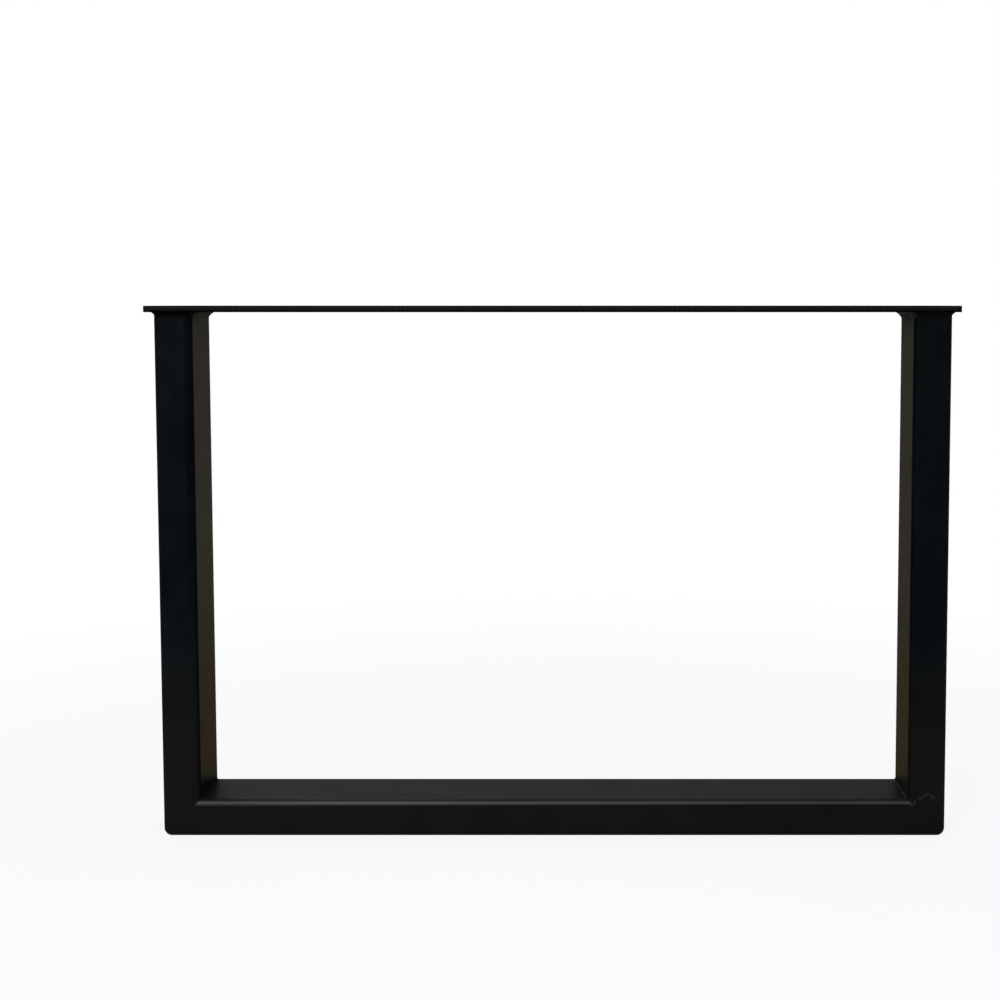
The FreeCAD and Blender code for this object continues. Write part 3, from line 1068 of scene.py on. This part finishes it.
def bead_material(look):
    """The same coat on the beads, with painted shade in their hollows and painted glints on the high
    spots.
    """
    if BEAD_NAME in bpy.data.materials:
        return bpy.data.materials[BEAD_NAME]
    material, shader = new_shader(BEAD_NAME)
    places = Places(shader)
    lumps = shader.noise(places.place, scale=420.0, detail=3.0, roughness=0.65)
    shade = places.low * places.between(*FLOOR_SHADE_ENDS)
    round_bend = shader.ramp(abs(places.y), *ROUND_DEPTHS)
    inner = 1 - shader.ramp(places.beyond, *OUTER_START)
    inner = inner * (1 - round_bend * places.between(*ROUND_LOSS_ENDS))
    # Painted glints: pale pigment on the high spots, fewer in the floor corners and on the outer parts
    high = shader.ramp(lumps, *GLINT_LIMITS) * (1 - shade)
    high = high * (OUTER_GLINT + (1 - OUTER_GLINT) * inner)
    # Painted shade in the hollows: near black on the left plate bead, paler in the floor corners and on
    # the right
    pale = shade.larger(places.between(*HOLLOW_ENDS))
    hollow = shader.blend(pale, opaque(look.painted_shade), opaque(look.corner))
    colour = shader.blend(high, hollow, opaque(look.painted_glint))
    roughness = look.pigment_roughness + (lumps - NOISE_MEAN) * ROUGH_LUMPS
    resin = look.resin * LUMP_GLOSS * lumps * (1 - shade * FLOOR_SHADE_LOSS)
    resin = resin * (OUTER_GLOSS + (1 - OUTER_GLOSS) * inner)
    powder = shader.noise(places.place, scale=2400.0, detail=2.0, roughness=0.6)
    coat_surface(shader, look, colour, roughness, resin, lumps + powder * LUMP_POWDER, LUMP_HEIGHT)
    return material


WHITE = (1.0, 1.0, 1.0, 1.0)
FIBRE_DEPTH = 0.985
FLOOR_FADE = (0.45, 1.1)


def seen_directly(shader):
    """Gives 1 for camera rays and for what gloss and glass show."""
    camera = shader.node("ShaderNodeLightPath", output="Is Camera Ray")
    glossy = shader.node("ShaderNodeLightPath", output="Is Glossy Ray")
    through = shader.node("ShaderNodeLightPath", output="Is Transmission Ray")
    return camera.larger(glossy).larger(through)


def floor_material(look):
    """Pale paper sweep that turns to plain white away from the leg, and keeps its shadow."""
    material, shader = new_shader("paper_sweep")
    x, y, _, place = shader.axes()
    fibre = shader.noise(place, scale=180.0, detail=4.0, roughness=0.6)
    deep = [channel * FIBRE_DEPTH for channel in look.floor_colour]
    colour = shader.blend(fibre, opaque(deep), opaque(look.floor_colour))
    paper = shader.node(
        "ShaderNodeBsdfPrincipled",
        inputs={"Base Color": colour, "Roughness": 1.0, "Specular IOR Level": 0.0})
    white = shader.node("ShaderNodeEmission", inputs={"Color": WHITE, "Strength": 1.0})
    far = shader.ramp((x * x + y * y) ** 0.5, *FLOOR_FADE)
    whiteness = look.floor_lift + (1 - look.floor_lift) * far
    surface = shader.node(
        "ShaderNodeMixShader", inputs={0: whiteness * seen_directly(shader), 1: paper, 2: white})
    shader.node("ShaderNodeOutputMaterial", inputs={"Surface": surface})
    return material


# Operators, one for each group of pieces and one for the stage

class LEG_OT_tubes(bpy.types.Operator):
    """Builds the two uprights and the floor rail"""

    bl_idname = "table_leg.tubes"
    bl_label = "Tube Frame"

    def execute(self, context):
        tube = context.scene.leg_tube
        material = coat_material(context.scene.leg_coat)
        outer, bore = tube_loops(tube)
        for word, side in SIDES:
            rings = upright_rings(tube, outer, side) + upright_rings(tube, bore, side)[::-1]
            piece = new_piece(f"{word}_upright_tube", *skin_rings(rings))
            dress(piece, f"{word}_upright", material)
        rings = rail_rings(tube, outer) + rail_rings(tube, bore)[::-1]
        piece = new_piece("bottom_rail_tube", *skin_rings(rings))
        dress(piece, "bottom_rail", material)
        return {"FINISHED"}


class LEG_OT_plate(bpy.types.Operator):
    """Builds the mounting plate with its screw holes"""

    bl_idname = "table_leg.plate"
    bl_label = "Mounting Plate"

    def execute(self, context):
        mesh = plate_mesh(context.scene.leg_plate)
        piece = finish_piece("mounting_plate_bar", mesh)
        dress(piece, "mounting_plate", coat_material(context.scene.leg_coat))
        return {"FINISHED"}


class LEG_OT_beads(bpy.types.Operator):
    """Lays the weld beads under the plate and in the inner floor corners"""

    bl_idname = "table_leg.beads"
    bl_label = "Weld Beads"

    def execute(self, context):
        tube = context.scene.leg_tube
        bead = context.scene.leg_bead
        material = bead_material(context.scene.leg_coat)
        for word, side in SIDES:
            rings = plate_bead_rings(tube, bead, side)
            piece = new_piece(f"{word}_plate_bead", *skin_rings(rings))
            dress(piece, f"{word}_plate_weld", material)
            rings = corner_bead_rings(tube, bead, side)
            piece = new_piece(f"{word}_corner_bead", *skin_rings(rings, around=False))
            dress(piece, f"{word}_corner_weld", material)
        return {"FINISHED"}


class LEG_OT_stage(bpy.types.Operator):
    """Sets up the floor, the soft light and the camera"""

    bl_idname = "table_leg.stage"
    bl_label = "Stage"

    def execute(self, context):
        look = context.scene.leg_stage
        add_floor(look)
        add_sky(look)
        add_lamps(look)
        add_camera(look)
        context.scene.view_settings.view_transform = "Standard"
        return {"FINISHED"}


FLOOR_REACH = 12.0
FLOOR_CELLS = 12
SENSOR_WIDTH = 36.0


def add_floor(look):
    """Lays the floor just under the rail."""
    step = 2 * FLOOR_REACH / FLOOR_CELLS
    vertices = []
    for row in range(FLOOR_CELLS + 1):
        for column in range(FLOOR_CELLS + 1):
            vertices.append((column * step - FLOOR_REACH, row * step - FLOOR_REACH, CAD_BOX[0][2]))
    faces = []
    for row in range(FLOOR_CELLS):
        for column in range(FLOOR_CELLS):
            first = row * (FLOOR_CELLS + 1) + column
            faces.append((first, first + 1, first + FLOOR_CELLS + 2, first + FLOOR_CELLS + 1))
    mesh = bpy.data.meshes.new("studio_floor")
    mesh.from_pydata(vertices, [], faces)
    floor = bpy.data.objects.new("studio_floor", mesh)
    bpy.context.scene.collection.objects.link(floor)
    mesh.materials.append(floor_material(look))


def add_sky(look):
    """Lights the leg softly from all sides, and shows plain white behind it."""
    world = bpy.data.worlds.new("studio_sky")
    world.use_nodes = True
    shader = Shader(world.node_tree)
    soft = shader.node(
        "ShaderNodeBackground", inputs={"Color": WHITE, "Strength": look.sky_strength})
    white = shader.node("ShaderNodeBackground", inputs={"Color": WHITE, "Strength": 1.0})
    surface = shader.node("ShaderNodeMixShader", inputs={0: seen_directly(shader), 1: soft, 2: white})
    shader.node("ShaderNodeOutputWorld", inputs={"Surface": surface})
    bpy.context.scene.world = world


def add_softbox(name, colour, power, size, place, aim):
    """Hangs a rectangular softbox that faces a given place."""
    lamp = bpy.data.lights.new(name, "AREA")
    lamp.shape = "RECTANGLE"
    lamp.size, lamp.size_y = size
    lamp.color = colour
    lamp.energy = power
    holder = bpy.data.objects.new(name, lamp)
    holder.location = place
    holder.rotation_euler = (Vector(aim) - Vector(place)).to_track_quat("-Z", "Y").to_euler()
    holder.visible_camera = False
    bpy.context.scene.collection.objects.link(holder)


def add_lamps(look):
    """Lights the front from the upper left, and the inner faces and the rail from behind."""
    add_softbox(
        "front_softbox", look.key_colour, look.key_power, size=(0.6, 0.6),
        place=(-0.40, -1.40, 1.05), aim=(-0.1, 0.0, 0.1))
    add_softbox(
        "front_strip", look.key_colour, look.fill_power, size=(3.0, 0.5),
        place=(0.0, -1.6, 1.1), aim=(0.0, 0.0, 0.1))
    add_softbox(
        "back_softbox", look.back_colour, look.back_power, size=(2.6, 0.6),
        place=(0.0, 1.4, 0.9), aim=(0.0, 0.0, 0.1))


def add_camera(look):
    """Stands the camera where the photograph was taken."""
    camera = bpy.data.cameras.new("camera")
    camera.sensor_width = SENSOR_WIDTH
    camera.lens = look.lens
    camera.shift_x = look.shift_x
    camera.shift_y = look.shift_y
    holder = bpy.data.objects.new("camera", camera)
    holder.location = (look.camera_side, -look.camera_distance, look.camera_height)
    holder.rotation_euler = (QUARTER_TURN - look.camera_pitch, 0, 0)
    bpy.context.scene.collection.objects.link(holder)
    bpy.context.scene.camera = holder


class LEG_PT_panel(bpy.types.Panel):
    """Lists the sizes, the colours and the build steps of the leg."""

    bl_idname = "LEG_PT_panel"
    bl_label = "Table Leg"
    bl_space_type = "VIEW_3D"
    bl_region_type = "UI"
    bl_category = "Table Leg"

    def draw(self, context):
        for attribute, group in GROUPS.items():
            box = self.layout.box()
            box.label(text=group.__doc__)
            settings = getattr(context.scene, attribute)
            for name in group.__annotations__:
                box.prop(settings, name)
        for step in STEPS:
            self.layout.operator(step.bl_idname)


GROUPS = {
    "leg_tube": TubeSizes,
    "leg_plate": PlateSizes,
    "leg_bead": BeadSizes,
    "leg_coat": CoatLook,
    "leg_stage": StageLook,
}
STEPS = (LEG_OT_tubes, LEG_OT_plate, LEG_OT_beads, LEG_OT_stage)


def register():
    for group in (*GROUPS.values(), *STEPS, LEG_PT_panel):
        bpy.utils.register_class(group)
    for attribute, group in GROUPS.items():
        setattr(bpy.types.Scene, attribute, PointerProperty(type=group))


def unregister():
    for attribute in GROUPS:
        delattr(bpy.types.Scene, attribute)
    for group in (LEG_PT_panel, *STEPS, *GROUPS.values()):
        bpy.utils.unregister_class(group)


def main():
    register()
    bpy.ops.table_leg.tubes()
    bpy.ops.table_leg.plate()
    bpy.ops.table_leg.beads()
    bpy.ops.table_leg.stage()


if __name__ == "__main__":
    main()
